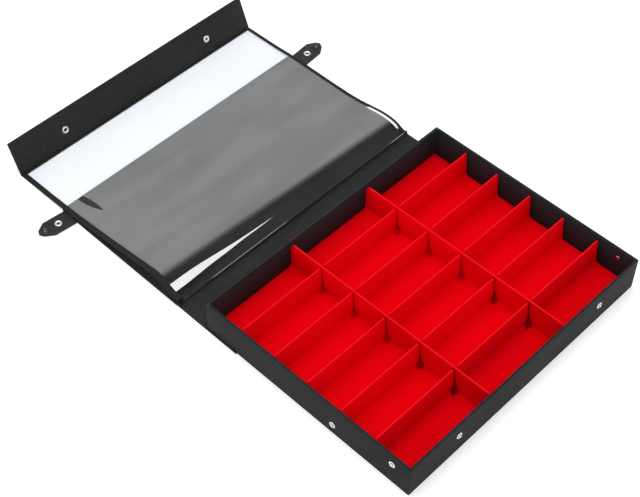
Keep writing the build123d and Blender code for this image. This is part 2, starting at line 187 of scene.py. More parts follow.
def sheet(name, low, high, across, lengthways, height=0.0):
    """A level sheet of small squares between two corners."""
    bpy.ops.object.select_all(action="DESELECT")
    middle = [(a + b) / 2 * MM for a, b in zip(low, high)]
    bpy.ops.mesh.primitive_grid_add(
        x_subdivisions=across, y_subdivisions=lengthways, size=1,
        location=(*middle, height * MM),
    )
    obj = bpy.context.object
    obj.scale = ((high[0] - low[0]) * MM, (high[1] - low[1]) * MM, 1)
    return settle(obj, name)


def modify(obj, kind, **settings):
    """Adds one modifier and applies it."""
    only(obj)
    modifier = obj.modifiers.new(kind.title(), kind)
    for key, value in settings.items():
        setattr(modifier, key, value)
    bpy.ops.object.modifier_apply(modifier=modifier.name)


def round_edges(obj, width, segments=3, angle=50):
    """Rounds the edges that turn more than an angle."""
    modify(
        obj, "BEVEL", width=width * MM, segments=segments, limit_method="ANGLE",
        angle_limit=math.radians(angle), use_clamp_overlap=True,
    )


def shape(obj, rule):
    """Moves each point of a mesh: the rule takes and gives millimetres."""
    for v in obj.data.vertices:
        v.co = Vector(rule(*(v.co / MM))) * MM
    obj.data.update()


def smooth(obj, angle=40):
    """Shades a mesh smooth except at its sharp edges."""
    only(obj)
    bpy.ops.object.shade_smooth_by_angle(angle=math.radians(angle))


def outward(obj):
    """Turns all faces outwards."""
    with editing(obj):
        bpy.ops.mesh.select_all(action="SELECT")
        bpy.ops.mesh.normals_make_consistent(inside=False)


def copied(obj, name):
    """A copy with its own mesh."""
    twin = obj.copy()
    twin.data = obj.data.copy()
    twin.name = twin.data.name = name
    bpy.context.scene.collection.objects.link(twin)
    return twin


def moved(obj, matrix):
    """Moves a mesh by a matrix in millimetres."""
    scale = Matrix.Scale(MM, 4)
    obj.data.transform(scale @ matrix @ scale.inverted())
    obj.data.update()
    return obj


def joined(name, parts):
    """Several meshes as one."""
    bpy.ops.object.select_all(action="DESELECT")
    for part in parts:
        part.select_set(True)
    bpy.context.view_layer.objects.active = parts[0]
    if len(parts) > 1:
        bpy.ops.object.join()
    parts[0].name = parts[0].data.name = name
    return parts[0]


def panel(name, low, high, edge, corner=1.0):
    """A flat panel with rounded corners and turned edges."""
    obj = block(name, low, high)
    with editing(obj):
        pick(obj, "edges", running(2))
        bpy.ops.mesh.bevel(offset=corner * MM, segments=3, affect="EDGES")
    round_edges(obj, edge, 2)
    smooth(obj)
    return obj


def turned(name, start, steps, sides=28):
    """A round part: a disc drawn out in steps of height and radius."""
    bpy.ops.object.select_all(action="DESELECT")
    bpy.ops.mesh.primitive_circle_add(vertices=sides, radius=start * MM, fill_type="NGON")
    obj = settle(bpy.context.object, name)
    with editing(obj):
        bpy.ops.mesh.select_all(action="SELECT")
        height, radius = 0.0, start
        for z, r in steps:
            bpy.ops.mesh.extrude_region_move(
                TRANSFORM_OT_translate={"value": (0, 0, (z - height) * MM)}
            )
            bpy.ops.transform.resize(
                value=(r / radius, r / radius, 1), center_override=(0, 0, z * MM)
            )
            height, radius = z, r
    outward(obj)
    smooth(obj, 50)
    return obj


def stitch_row(name, length, pitch, width=0.5, height=0.3):
    """Sewing thread along Y: one stitch, modelled once and repeated."""
    one = block(name, (-width / 2, 0.25 * pitch, 0), (width / 2, 0.95 * pitch, height))
    with editing(one):
        pick(one, "faces", facing(1, 1))
        bpy.ops.mesh.extrude_region_move(
            TRANSFORM_OT_translate={"value": (0, 0.15 * pitch * MM, -height / 2 * MM)}
        )
        pick(one, "faces", facing(1, -1))
        bpy.ops.mesh.extrude_region_move(
            TRANSFORM_OT_translate={"value": (0, -0.15 * pitch * MM, -height / 2 * MM)}
        )
    round_edges(one, 0.12, 1)
    modify(
        one, "ARRAY", count=int(length / pitch), use_relative_offset=False,
        use_constant_offset=True, constant_offset_displace=(0, pitch * MM, 0),
    )
    smooth(one, 60)
    return one


def ease(t):
    """0 to 1 with soft ends."""
    t = min(1.0, max(0.0, t))
    return t * t * (3 - 2 * t)


def along(points, t):
    """Height on a smooth line through points, at t."""
    if t <= points[0][0]:
        return points[0][1]
    if t >= points[-1][0]:
        return points[-1][1]
    n = len(points)
    slopes = []
    for i in range(n):
        a, b = points[max(0, i - 1)], points[min(n - 1, i + 1)]
        slopes.append((b[1] - a[1]) / (b[0] - a[0]))
    for i in range(n - 1):
        (x0, y0), (x1, y1) = points[i], points[i + 1]
        if x0 <= t <= x1:
            w = x1 - x0
            s = (t - x0) / w
            return (
                y0 * (1 + 2 * s) * (1 - s) ** 2 + slopes[i] * w * s * (1 - s) ** 2
                + y1 * s * s * (3 - 2 * s) + slopes[i + 1] * w * s * s * (s - 1)
            )


def window_height(x, y):
    """How high the slack window stands at a place, with its soft ripples."""
    share = min(1.0, max(0.0, (x + LID_X) / (2 * LID_X)))
    left, right = along(LEFT_ARCH, y), along(RIGHT_ARCH, y)
    slack = ease((y - SLACK_START) / 40) * ease((SLACK_END - y) / 60) * ease((LID_X - abs(x)) / 60)
    ripple = noise.noise(Vector((x / 150 + y / 400, y / 45, 3.7)))
    return left + (right - left) * share + SLACK_RIPPLE * slack * ripple


# Places and lengths that the materials use, in metres; a pair is the start and end of a soft step
# Painted highlight along the tray's rear rim: its height, and its rising and falling edge across the
# rim
RIM_HIGHLIGHT_Z, RIM_HIGHLIGHT_START, RIM_HIGHLIGHT_END = (0.0590, 0.0597), (0.1862, 0.1868), (0.1876, 0.1884)
# Height above which the velvet's top edges get a painted highlight
CREST_HIGHLIGHT_Z = (0.0541, 0.0550)
# Where the film's painted reflection begins as it lies flat, and where it turns bluish past the
# cover's board
FLAT_FROM, PAST_BOARD = (0.2792, 0.2945), (0.514, 0.518)
# The painted glint wedge beside the film's crease: its start, width, tip and rise, and the pitch of
# its ribs
GLINT_WEDGE_START, GLINT_WEDGE_WIDTH, GLINT_WEDGE_TIP_X = 0.2650, 0.0128, -0.010
GLINT_WEDGE_RISE, RISE_START, RISE_END = 0.0020, (-0.225, -0.150), (-0.110, -0.050)
# The painted glint strip under the right arch
ARCH_GLINT_X, ARCH_GLINT_START, ARCH_GLINT_END = (0.2352, 0.2358), (0.262, 0.267), (0.326, 0.336)
# The wrinkle where the film's painted reflection is left out
WRINKLE_FRONT, WRINKLE_WIDTH = 0.5330, 0.0240
WRINKLE_X, WRINKLE_Y = -0.2118, 0.5195
GLINT_RIB_PITCH = 0.0042
SHARP_STEP = 0.0004

# Painted shade in the gaps where dividers meet partitions, in metres: its width at the floor and
# higher up, the height where it has narrowed, where it fades out upwards, where it ends sideways,
# and where its shade changes
PARTITION_GAP_SHADE, PARTITION_GAP_SHADE_Z = (0.0125, 0.0030), 0.038
PARTITION_FADE, PARTITION_LIMIT = (0.050, 0.0545), (0.140, 0.141)
DIVIDER_GAP_SHADE, DIVIDER_GAP_SHADE_Z = (0.0115, 0.0012), 0.034
DIVIDER_FADE, DIVIDER_LIMIT = (0.048, 0.0530), (0.0795, 0.0800)
GAP_SHADE_Y = (-0.110, 0.020)


# Materials
class Value:
    """A number that varies over a surface; arithmetic adds Math nodes."""

    def __init__(self, finish, socket):
        self.finish, self.socket = finish, socket

    def join(self, operation, *values):
        return self.finish.add("ShaderNodeMath", {"operation": operation}, values)

    def __add__(self, other):
        return self.join("ADD", self, other)

    def __sub__(self, other):
        return self.join("SUBTRACT", self, other)

    def __rsub__(self, other):
        return self.join("SUBTRACT", other, self)

    def __mul__(self, other):
        return self.join("MULTIPLY", self, other)

    def size(self):
        return self.join("ABSOLUTE", self)

    def sine(self):
        return self.join("SINE", self)

    def clamped(self):
        return self.join("MINIMUM", self.join("MAXIMUM", self, 0.0), 1.0)

    __radd__, __rmul__ = __add__, __mul__


class Finish:
    """One material: a principled shader and the nodes that feed it."""

    def __init__(self, name, **constants):
        self.material = bpy.data.materials.new(name)
        self.material.use_nodes = True
        self.tree = self.material.node_tree
        self.shader = self.tree.nodes["Principled BSDF"]
        for key, value in constants.items():
            self.shader.inputs[key.replace("_", " ")].default_value = value

    def link(self, socket, value):
        if isinstance(value, Value):
            self.tree.links.new(value.socket, socket)
        else:
            socket.default_value = value

    def add(self, kind, settings=None, values=None, output=0):
        """Adds a node: its settings first, then the values or links it takes."""
        node = self.tree.nodes.new(kind)
        for key, value in (settings or {}).items():
            setattr(node, key, value)
        pairs = values.items() if isinstance(values, dict) else enumerate(values or ())
        for key, value in pairs:
            self.link(node.inputs[key], value)
        return Value(self, node.outputs[output])

    def place(self):
        return self.add("ShaderNodeTexCoord", output="Object")

    def noise(self, vector, scale, detail=3.0, roughness=0.55):
        values = {"Vector": vector, "Scale": scale, "Detail": detail, "Roughness": roughness}
        return self.add("ShaderNodeTexNoise", {}, values, "Fac")

    def cells(self, vector, scale):
        """Random cells: how far a place is from its cell's edge."""
        return self.add(
            "ShaderNodeTexVoronoi", {"feature": "DISTANCE_TO_EDGE"},
            {"Vector": vector, "Scale": scale}, "Distance",
        )

    def spread(self, value, low, high, new_low=0.0, new_high=1.0):
        """A soft step from one level to another between two values."""
        values = {
            "Value": value, "From Min": low, "From Max": high,
            "To Min": new_low, "To Max": new_high,
        }
        return self.add("ShaderNodeMapRange", {"interpolation_type": "SMOOTHSTEP"}, values)

    def blend(self, share, first, second):
        """A colour between two colours."""
        node = self.tree.nodes.new("ShaderNodeMix")
        node.data_type = "RGBA"
        for key, value in ((0, share), (6, first), (7, second)):
            self.link(node.inputs[key], value)
        return Value(self, node.outputs[2])

    def stretch(self, vector, scale, turn=(0, 0, 0)):
        """Places scaled along each axis, and turned by radians."""
        values = {"Vector": vector, "Scale": scale, "Rotation": turn}
        return self.add("ShaderNodeMapping", {}, values)

    def parts(self, vector):
        """The X, Y and Z of a place, in metres."""
        node = self.tree.nodes.new("ShaderNodeSeparateXYZ")
        self.link(node.inputs[0], vector)
        return [Value(self, out) for out in node.outputs]

    def bump(self, height, distance):
        values = {"Height": height, "Distance": distance}
        self.surface(Normal=self.add("ShaderNodeBump", {}, values))

    def surface(self, **values):
        """Feeds inputs of the shader, underscores standing for spaces."""
        for key, value in values.items():
            self.link(self.shader.inputs[key.replace("_", " ")], value)


def leatherette(name, colour, worn, roughness, grain=1300.0, depth=0.00016, gloss=0.22, painted_rim_highlight=False):
    """Pebbled coated cloth: small raised cells with finer wrinkles over them. The tray's
    has a painted highlight: a pale line along the inner edge of its rear rim."""
    finish = Finish(name, Specular_IOR_Level=gloss)
    place = finish.place()
    warp = finish.noise(place, 160, 2)
    pebbles = finish.cells(place, grain)
    pebble = finish.spread(pebbles, 0.0, 0.22)
    wrinkles = finish.noise(place, grain * 2.6, 4, 0.7)
    patches = finish.noise(place, 9, 4)
    mottle = finish.spread(finish.noise(place, 400, 2, 0.6), 0.36, 0.64)
    height = pebble * 0.65 + wrinkles * 0.25 + warp * 0.3
    shade = finish.spread(patches, 0.3, 0.7) * 0.2 + pebble * 0.25 + mottle * 0.55
    tone = finish.blend(shade, colour, worn)
    if painted_rim_highlight:
        # Painted highlight: a pale line along the inner edge of the tray's rear rim
        _, y, z = finish.parts(place)
        rim_highlight_mask = finish.spread(z, *RIM_HIGHLIGHT_Z) * finish.spread(y, *RIM_HIGHLIGHT_START) * (
            finish.spread(y, *RIM_HIGHLIGHT_END, 1.0, 0.0)
        )
        tone = finish.blend(rim_highlight_mask * (0.4 + patches * 0.6), tone, (0.12, 0.12, 0.12, 1))
    finish.surface(
        Base_Color=tone,
        Roughness=roughness + (wrinkles - 0.5) * 0.18 - (patches - 0.5) * 0.1,
    )
    finish.bump(height, depth)
    return finish.material


def velvet(name, deep, bright, crest_highlight, painted_gap_shade=""):
    """Short red pile: soft nap, fine fibre specks, and a painted highlight along the top edges. Where
    a divider's right end meets a partition, painted shade darkens a wedge on both."""
    finish = Finish(
        name, Specular_IOR_Level=0.02, Sheen_Weight=0.18, Sheen_Roughness=0.5,
        Sheen_Tint=(1.0, 0.0, 0.004, 1),
    )
    place = finish.place()
    x, y, z = finish.parts(place)
    nap = finish.noise(place, 11, 2, 0.4)
    fibres = finish.noise(place, 2600, 2, 0.8)
    tufts = finish.noise(place, 500, 3, 0.6)
    shade = finish.spread(nap, 0.2, 0.8) * 0.3 + tufts * 0.3 + fibres * 0.4
    # Painted highlight along the top edges of the dividers and partitions
    top = finish.spread(z, *CREST_HIGHLIGHT_Z)
    colour = finish.blend(shade, deep, bright)
    # Painted shade: a dark wedge on the partition's face just behind each divider's end, widest at the
    # floor and darker towards the front
    if painted_gap_shade == "partition":
        pitch = ROW_PITCH * MM
        behind = y.join("WRAP", y, pitch / 2, -pitch / 2)
        reach = finish.spread(z, PAD_REST * MM, PARTITION_GAP_SHADE_Z, *PARTITION_GAP_SHADE)
        gap_shade = finish.spread(behind + reach, -0.0010, 0.0022)
        gap_shade = gap_shade * (1 - finish.spread(behind, 0.003, 0.004))
        gap_shade = gap_shade * (1 - finish.spread(z, *PARTITION_FADE))
        gap_shade = gap_shade * (1 - finish.spread(y.size(), *PARTITION_LIMIT))
        shadow = finish.spread(y, *GAP_SHADE_Y, 0.85, 0.45)
        colour = finish.blend(gap_shade * shadow, colour, (0.20, 0.0, 0.0, 1))
    # Painted shade: a dark wedge on each divider's end beside the partition, widest at the floor and
    # darker towards the front
    if painted_gap_shade == "divider":
        column = 2 * PARTITION_X * MM
        face = column / 2 - PARTITION_HALF * MM
        gap = face - x.join("WRAP", x, column / 2, -column / 2)
        reach = finish.spread(z, PAD_REST * MM, DIVIDER_GAP_SHADE_Z, *DIVIDER_GAP_SHADE)
        gap_shade = finish.spread(reach - gap, 0.0, 0.0060) * (1 - finish.spread(z, *DIVIDER_FADE))
        gap_shade = gap_shade * (1 - finish.spread(x, *DIVIDER_LIMIT))
        shadow = finish.spread(y, *GAP_SHADE_Y, 0.9, 0.4)
        colour = finish.blend(gap_shade * shadow, colour, (0.14, 0.0, 0.0, 1))
    # The top edges are blended towards the painted highlight colour
    finish.surface(
        Base_Color=finish.blend(top * (0.25 + tufts * 0.6), colour, crest_highlight),
        Roughness=0.88 + (fibres - 0.5) * 0.12,
    )
    finish.bump(fibres * 0.5 + tufts * 0.6, 0.00022)
    return finish.material


def ribbed_cloth(name, colour, bright, pitch=1.5):
    """Woven binding tape: ribs across it and yarns along it."""
    finish = Finish(name, Specular_IOR_Level=0.16, Sheen_Weight=0.03, Sheen_Roughness=0.5)
    place = finish.place()
    y = finish.parts(place)[1]
    ribs = (y * (2 * math.pi / (pitch * MM))).sine()
    yarns = finish.noise(finish.stretch(place, (1, 0.15, 1)), 2600, 2, 0.7)
    dust = finish.noise(place, 40, 3)
    height = ribs * 0.35 + yarns * 0.4
    finish.surface(
        Base_Color=finish.blend(finish.spread(height, -0.3, 0.8), colour, bright),
        Roughness=0.66 + (dust - 0.5) * 0.2,
    )
    finish.bump(height, 0.00025)
    return finish.material


def card(name, colour, bright):
    """Pressed fibres lying mostly one way: board, and the film's cut edge, made pale as a painted
    glint.
    """
    finish = Finish(name, Specular_IOR_Level=0.2)
    place = finish.place()
    fibres = finish.noise(finish.stretch(place, (1, 0.3, 1), (0, 0, 0.5)), 700, 4, 0.7)
    finish.surface(
        Base_Color=finish.blend(fibres, colour, bright), Roughness=0.8 + fibres * 0.15,
    )
    finish.bump(fibres, 0.0001)
    return finish.material


def plated(name, colour, dull, roughness):
    """Pressed metal: fine turning marks and small scuffs."""
    finish = Finish(name, Metallic=1.0)
    place = finish.place()
    brushed = finish.noise(finish.stretch(place, (1, 1, 6)), 900, 3, 0.7)
    scuffs = finish.spread(finish.noise(place, 260, 4, 0.7), 0.52, 0.72)
    finish.surface(
        Base_Color=finish.blend(scuffs * 0.8, colour, dull),
        Roughness=roughness + scuffs * 0.2 + (brushed - 0.5) * 0.1,
    )
    finish.bump(brushed * 0.4 - scuffs * 0.6, 0.00005)
    return finish.material


def clear_film(name, painted_reflection_share, steep_share):
    """Soft clear plastic with painted light. Where it stands steep it stays clear, with a
    painted glint, a white wedge, beside its crease and a white strip of painted glint under the
    right arch. Where it lies flat it carries a faint pale painted reflection of the bright
    surroundings with long ripples, left out in one clear wrinkle."""
    finish = Finish(name, Specular_IOR_Level=0.5, IOR=1.9)
    place = finish.place()
    x, y, _ = finish.parts(place)

    flat = finish.spread(y + x * 0.03, *FLAT_FROM)
    # Painted glint: a white wedge beside the crease, rising towards its tip
    rise = finish.spread(x, *RISE_START, 0.0, GLINT_WEDGE_RISE) * finish.spread(x, *RISE_END, 1.0, 0.0)
    glint_wedge_width = finish.spread(x, -0.215, GLINT_WEDGE_TIP_X, GLINT_WEDGE_WIDTH, 0.0) - rise
    into_glint_wedge = y - GLINT_WEDGE_START - finish.spread(x, -0.150, GLINT_WEDGE_TIP_X, 0.0, 0.0042) - rise
    painted_glint = finish.spread(into_glint_wedge, 0.0, 0.0005) * finish.spread(
        glint_wedge_width - into_glint_wedge, 0.0, 0.0005
    ) * finish.spread(glint_wedge_width, 0.0, SHARP_STEP)

    # Painted glint: a white strip under the right arch
    arch_glint = finish.spread(x, *ARCH_GLINT_X) * finish.spread(y, *ARCH_GLINT_START) * (
        finish.spread(y, *ARCH_GLINT_END, 1.0, 0.0)
    )
    painted_glint = painted_glint + arch_glint

    # A spindle where the painted reflection is left out, for one wrinkle
    per_length, slant = -14.6, 0.135
    run = (y - WRINKLE_FRONT) * per_length
    aside = x - WRINKLE_X + (y - WRINKLE_Y) * slant
    half_width = run.clamped() * (1 - run.clamped()) * WRINKLE_WIDTH
    in_wrinkle = finish.spread(half_width - aside.size(), 0.0, SHARP_STEP)

    streaks = finish.noise(finish.stretch(place, (1.0, 5.5, 1), (0, 0, 0.16)), 4.5, 3, 0.5)
    clouds = finish.noise(place, 7, 3, 0.5)
    scuffs = finish.spread(
        finish.noise(finish.stretch(place, (2, 40, 2), (0, 0, -0.5)), 14, 3, 0.7), 0.63, 0.74
    )
    # Painted reflection of the bright surroundings where the film lies flat, in streaks and clouds,
    # lighter past the cover's board
    painted_reflection = finish.spread(streaks, 0.3, 0.7) * 0.6 + finish.spread(clouds, 0.3, 0.7) * 0.4
    past_board = finish.spread(y, *PAST_BOARD)
    milky_reflection = painted_reflection_share * (0.87 + painted_reflection * 0.22 + (0.07 - painted_reflection * 0.18) * past_board) + scuffs * 0.03
    alpha = steep_share + (milky_reflection - steep_share) * flat
    alpha = alpha + (steep_share - alpha) * in_wrinkle
    # Where the painted glint is, the film is nearly opaque and near white
    glint_share = 0.74
    alpha = alpha + (glint_share - alpha) * painted_glint
    # Painted reflection tone: grey over the cover, bluish past its board, nearly black where the film
    # stands steep
    tone = finish.blend(painted_reflection, (0.455, 0.465, 0.47, 1), (0.525, 0.535, 0.55, 1))
    tone = finish.blend(past_board, tone, (0.485, 0.54, 0.63, 1))
    tone = finish.blend(1 - flat, tone, (0.02, 0.02, 0.02, 1))
    # The painted glint has fine ribs across it
    ripples = (x * (2 * math.pi / GLINT_RIB_PITCH)).sine() * 0.5 + 0.5
    white = finish.blend(ripples, (0.78, 0.79, 0.81, 1), (0.97, 0.98, 1.0, 1))
    finish.surface(
        Base_Color=finish.blend(painted_glint, tone, white),
        Alpha=alpha,
        Roughness=0.14 + scuffs * 0.25 + (clouds - 0.5) * 0.06,
    )
    finish.bump(streaks + clouds * 0.4, 0.0012)
    return finish.material


# The tray's outer leatherette carries the painted rim highlight
OUTER_LEATHER = leatherette(
    "outer_leatherette", (0.006, 0.006, 0.0064, 1), (0.026, 0.026, 0.0264, 1), 0.62,
    gloss=0.08, painted_rim_highlight=True,
)
INNER_LEATHER = leatherette(
    "inner_lining", (0.006, 0.011, 0.014, 1), (0.012, 0.018, 0.022, 1), 0.66, 1600
)
LID_LEATHER = leatherette(
    "lid_leatherette", (0.008, 0.008, 0.0085, 1), (0.027, 0.027, 0.0275, 1), 0.64, 1500, 0.00006, 0.14
)
# A lighter copy of the lid leatherette for the rear welt: painted light that offsets the shade on its
# front face
WELT_LIGHTENED_LEATHER = leatherette(
    "welt_leatherette_painted_light", (0.026, 0.026, 0.0265, 1), (0.056, 0.056, 0.0565, 1), 0.6, 1500
)
TAB_LEATHER = leatherette(
    "tab_leatherette", (0.010, 0.010, 0.011, 1), (0.030, 0.030, 0.031, 1), 0.46, 800, 0.0003
)
# Deep and bright pile, and the painted highlight of the top edges
PILE_TONES = ((0.62, 0.0, 0.003, 1), (0.76, 0.0, 0.005, 1), (0.70, 0.011, 0.020, 1))
RED_PILE = velvet("red_velvet", *PILE_TONES)
# Velvet with painted shade in the gaps at the dividers' ends
PARTITION_PILE = velvet("partition_velvet", *PILE_TONES, painted_gap_shade="partition")
DIVIDER_PILE = velvet("divider_velvet", *PILE_TONES, painted_gap_shade="divider")
TAPE = ribbed_cloth("binding_tape", (0.001, 0.001, 0.001, 1), (0.022, 0.022, 0.023, 1), 2.2)
# Pale thread for the welt's top seam: a dimmer painted glint
SEAM_THREAD_GLINT = ribbed_cloth("welt_thread_painted_glint", (0.028, 0.028, 0.028, 1), (0.075, 0.075, 0.075, 1), 0.4)
THREAD = ribbed_cloth("black_thread", (0.010, 0.010, 0.010, 1), (0.045, 0.045, 0.046, 1), 0.4)
CARD = card("pressed_card", (0.020, 0.018, 0.016, 1), (0.050, 0.046, 0.040, 1))
NICKEL = plated("nickel", (0.82, 0.81, 0.78, 1), (0.45, 0.44, 0.42, 1), 0.18)
DULL_NICKEL = plated("dull_nickel", (0.22, 0.22, 0.22, 1), (0.03, 0.03, 0.03, 1), 0.15)
CAP_NICKEL = plated("rivet_cap_nickel", (0.36, 0.35, 0.35, 1), (0.12, 0.12, 0.12, 1), 0.1)
DARK_SNAP = plated("dark_snap", (0.060, 0.060, 0.064, 1), (0.020, 0.020, 0.020, 1), 0.22)
# The film's cut edge is made pale: a painted glint
CUT_EDGE_GLINT = card("film_edge_painted_glint", (0.20, 0.20, 0.20, 1), (0.62, 0.62, 0.63, 1))
# Clear film with painted reflection and painted glints
FILM = clear_film("clear_film", 0.194, 0.012)


def dress(obj, material):
    """Gives a mesh one material."""
    obj.data.materials.clear()
    obj.data.materials.append(material)


def piece(obj, body, material, stands_for=()):
    """Gives a finished piece its material, hangs it on its body and hides the nodes it stands for."""
    dress(obj, material)
    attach(obj, body)
    if stands_for:
        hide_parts(*stands_for)
    return obj


def side_ends(sign, inner, outer):
    """The ends of a strip at the left or the right, in rising X."""
    return sorted((sign * inner, sign * outer))


def turned_edge(name, low, high, radius):
    """A skin turned in over the edge of its board."""
    edge = block(name, low, high)
    round_edges(edge, radius, 3)
    smooth(edge)
    return edge


def set_of(model, name, places, body, finish, stands_for=()):
    """One part at several places, as one piece."""
    parts = [moved(copied(model, name), place) for place in places]
    piece(joined(name, parts), body, finish, stands_for)


def settles_flat(obj):
    """The slack window and what is sewn to it lie flat once the lid is shut; here each only gets a
    mesh of its own.
    """
    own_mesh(obj)


# CAD nodes
FINISH_OF_SLOT = {
    "black_leatherette": OUTER_LEATHER, "black_lining": INNER_LEATHER,
    "red_velvet": RED_PILE, "clear_film": FILM, "binding": TAPE, "board": CARD,
    "nickel": NICKEL, "black_snap": DARK_SNAP,
}
for part in frame["record"]["subparts"]:
    dress(frame["nodes"][part["node"]], FINISH_OF_SLOT[part["material_slot"]])


# Tray
def ring(name, x, y, low, high, width, thick, edge):
    """A wall ring open below, its top edge turned inwards by a width."""
    obj = block(name, (-x, -y, low), (x, y, high))
    with editing(obj):
        pick(obj, "faces", facing(2, 1))
        bpy.ops.mesh.inset(thickness=width * MM, depth=0)
        pick(obj, "faces", lambda f: abs(f.normal.z) > 0.9 and f.calc_area() > 0.1)
        bpy.ops.mesh.delete(type="FACE")
    modify(obj, "SOLIDIFY", thickness=thick * MM, offset=-1, use_even_offset=True)
    round_edges(obj, edge, 3)
    smooth(obj)
    return obj


tray_wrap = ring("tray_wrap", TRAY_X, TRAY_Y, TRAY_FOOT, TRAY_TOP, RIM, WRAP, 0.75)
piece(tray_wrap, "tray", OUTER_LEATHER, ["outer_wrap"])


def lining():
    """The black lining: a shallow box inside the walls, with a soft top edge."""
    obj = block("wall_lining", (-INNER_X, -INNER_Y, BASE_TOP), (INNER_X, INNER_Y, TRAY_TOP - 0.5))
    with editing(obj):
        pick(obj, "faces", lambda f: abs(f.normal.z) > 0.9)
        bpy.ops.mesh.delete(type="FACE")
        bpy.ops.mesh.select_all(action="SELECT")
        bpy.ops.mesh.flip_normals()
        pick(obj, "edges", running(2))
        bpy.ops.mesh.bevel(offset=1.2 * MM, segments=3, affect="EDGES")
    modify(obj, "SOLIDIFY", thickness=WRAP * MM, offset=-1, use_even_offset=True)
    round_edges(obj, 0.3, 2)
    smooth(obj)
    return obj


piece(lining(), "tray", INNER_LEATHER, ["inner_lining"])
piece(
    panel("tray_underside", (-TRAY_X, -TRAY_Y, 0), (TRAY_X, HINGE_STRIP_START, TRAY_FOOT), 0.35, 2),
    "tray", OUTER_LEATHER, ["bottom_lining"],
)
piece(
    panel("glued_hinge_strip", (-LID_X, HINGE_STRIP_START, 0), (LID_X, TRAY_Y, TRAY_FOOT), 0.35, 1.5),
    "tray", LID_LEATHER, ["hinge_strip"],
)


# Velvet insert
def floor_pad():
    """One thin padded floor, swollen by air between the feet of its dividers."""
    pad = sheet("floor_pad", (-PAD_X, -PAD_Y), (PAD_X, PAD_Y), 38, 92, PAD_REST)
    with editing(pad):
        bpy.ops.mesh.select_all(action="SELECT")
        bpy.ops.mesh.extrude_region_move(
            TRANSFORM_OT_translate={"value": (0, 0, (BASE_TOP - PAD_REST) * MM)}
        )
    outward(pad)
    round_edges(pad, 0.8, 2, 70)
    held = pad.vertex_groups.new(name="held")
    foot_reach, edge_reach = 13, 2
    for v in pad.data.vertices:
        x, y, z = (c / MM for c in v.co)
        row = y / ROW_PITCH
        foot = min(abs(row - k) for k in range(-3, 4)) * ROW_PITCH < foot_reach and abs(row) < 2.6
        edge = PAD_X - abs(x) < edge_reach or PAD_Y - abs(y) < edge_reach
        if z < PAD_TOP - 1.5 or foot or edge:
            held.add([v.index], 1.0, "REPLACE")
    before = [v.co.copy() for v in pad.data.vertices]
    only(pad)
    cloth = pad.modifiers.new("Cloth", "CLOTH")
    cloth.settings.quality = 4
    cloth.settings.use_pressure = True
    cloth.settings.uniform_pressure_force = 4
    cloth.settings.vertex_group_mass = "held"
    cloth.settings.effector_weights.gravity = 0
    cloth.point_cache.frame_start, cloth.point_cache.frame_end = 1, 20
    for step in range(1, 21):
        bpy.context.scene.frame_set(step)
    only(pad)
    bpy.ops.object.modifier_apply(modifier=cloth.name)
    bpy.context.scene.frame_set(1)
    for v, old in zip(pad.data.vertices, before):
        move = v.co - old
        if move.length > PAD_SWELL * MM:
            v.co = old + move.normalized() * PAD_SWELL * MM
    smooth(pad, 60)
    return pad


pad_model = floor_pad()
for side, (centre, width, _) in COLUMNS.items():
    pad = copied(pad_model, f"{side}_floor_velvet")
    shape(pad, lambda x, y, z: (x * width / (2 * PAD_X) + centre, y, z))
    piece(pad, "tray", RED_PILE, [f"floor_pad_{side}"])
bpy.data.objects.remove(pad_model)


def flare_out(leaf, axis, middle, half, radius, top, steps):
    """Draws the selected lower face of a leaf down into a quarter-round flare."""
    width, height = half, top
    for step in range(1, steps + 1):
        turn = math.pi / 2 * step / steps
        wider = half + radius * (1 - math.cos(turn))
        lower = top - radius * math.sin(turn)
        bpy.ops.mesh.extrude_region_move(
            TRANSFORM_OT_translate={"value": (0, 0, (lower - height) * MM)}
        )
        growth, centre = [1, 1, 1], [0, 0, lower * MM]
        growth[axis], centre[axis] = wider / width, middle * MM
        bpy.ops.transform.resize(value=growth, center_override=centre)
        width, height = wider, lower


def divider(length):
    """A velvet pleat: a thin leaf with a rounded top that flares into its foot."""
    flare_top = PAD_REST + DIVIDER_FLARE
    half = DIVIDER_LEAF / 2
    leaf = block("divider", (-length / 2, -half, flare_top), (length / 2, half, DIVIDER_TOP))
    with editing(leaf):
        pick(leaf, "edges", lambda e: running(1)(e) and e.verts[0].co.z > 50 * MM)
        bpy.ops.mesh.bevel(offset=3 * MM, segments=4, affect="EDGES")
        pick(leaf, "faces", lambda f: f.normal.z < -0.9)
        flare_out(leaf, 1, 0, half, DIVIDER_FLARE, flare_top, 7)
    with editing(leaf):
        bpy.ops.mesh.select_all(action="SELECT")
        bpy.ops.mesh.remove_doubles(threshold=0.01 * MM)
        bpy.ops.mesh.normals_make_consistent(inside=False)
        pick(leaf, "edges", lambda e: running(0, 100)(e) and e.verts[0].co.z > 54 * MM)
        bpy.ops.mesh.bevel(offset=0.85 * MM, segments=3, affect="EDGES")
        pick(leaf, "edges", running(0, 100))
        bpy.ops.mesh.subdivide(number_cuts=23)
    smooth(leaf, 50)
    return leaf


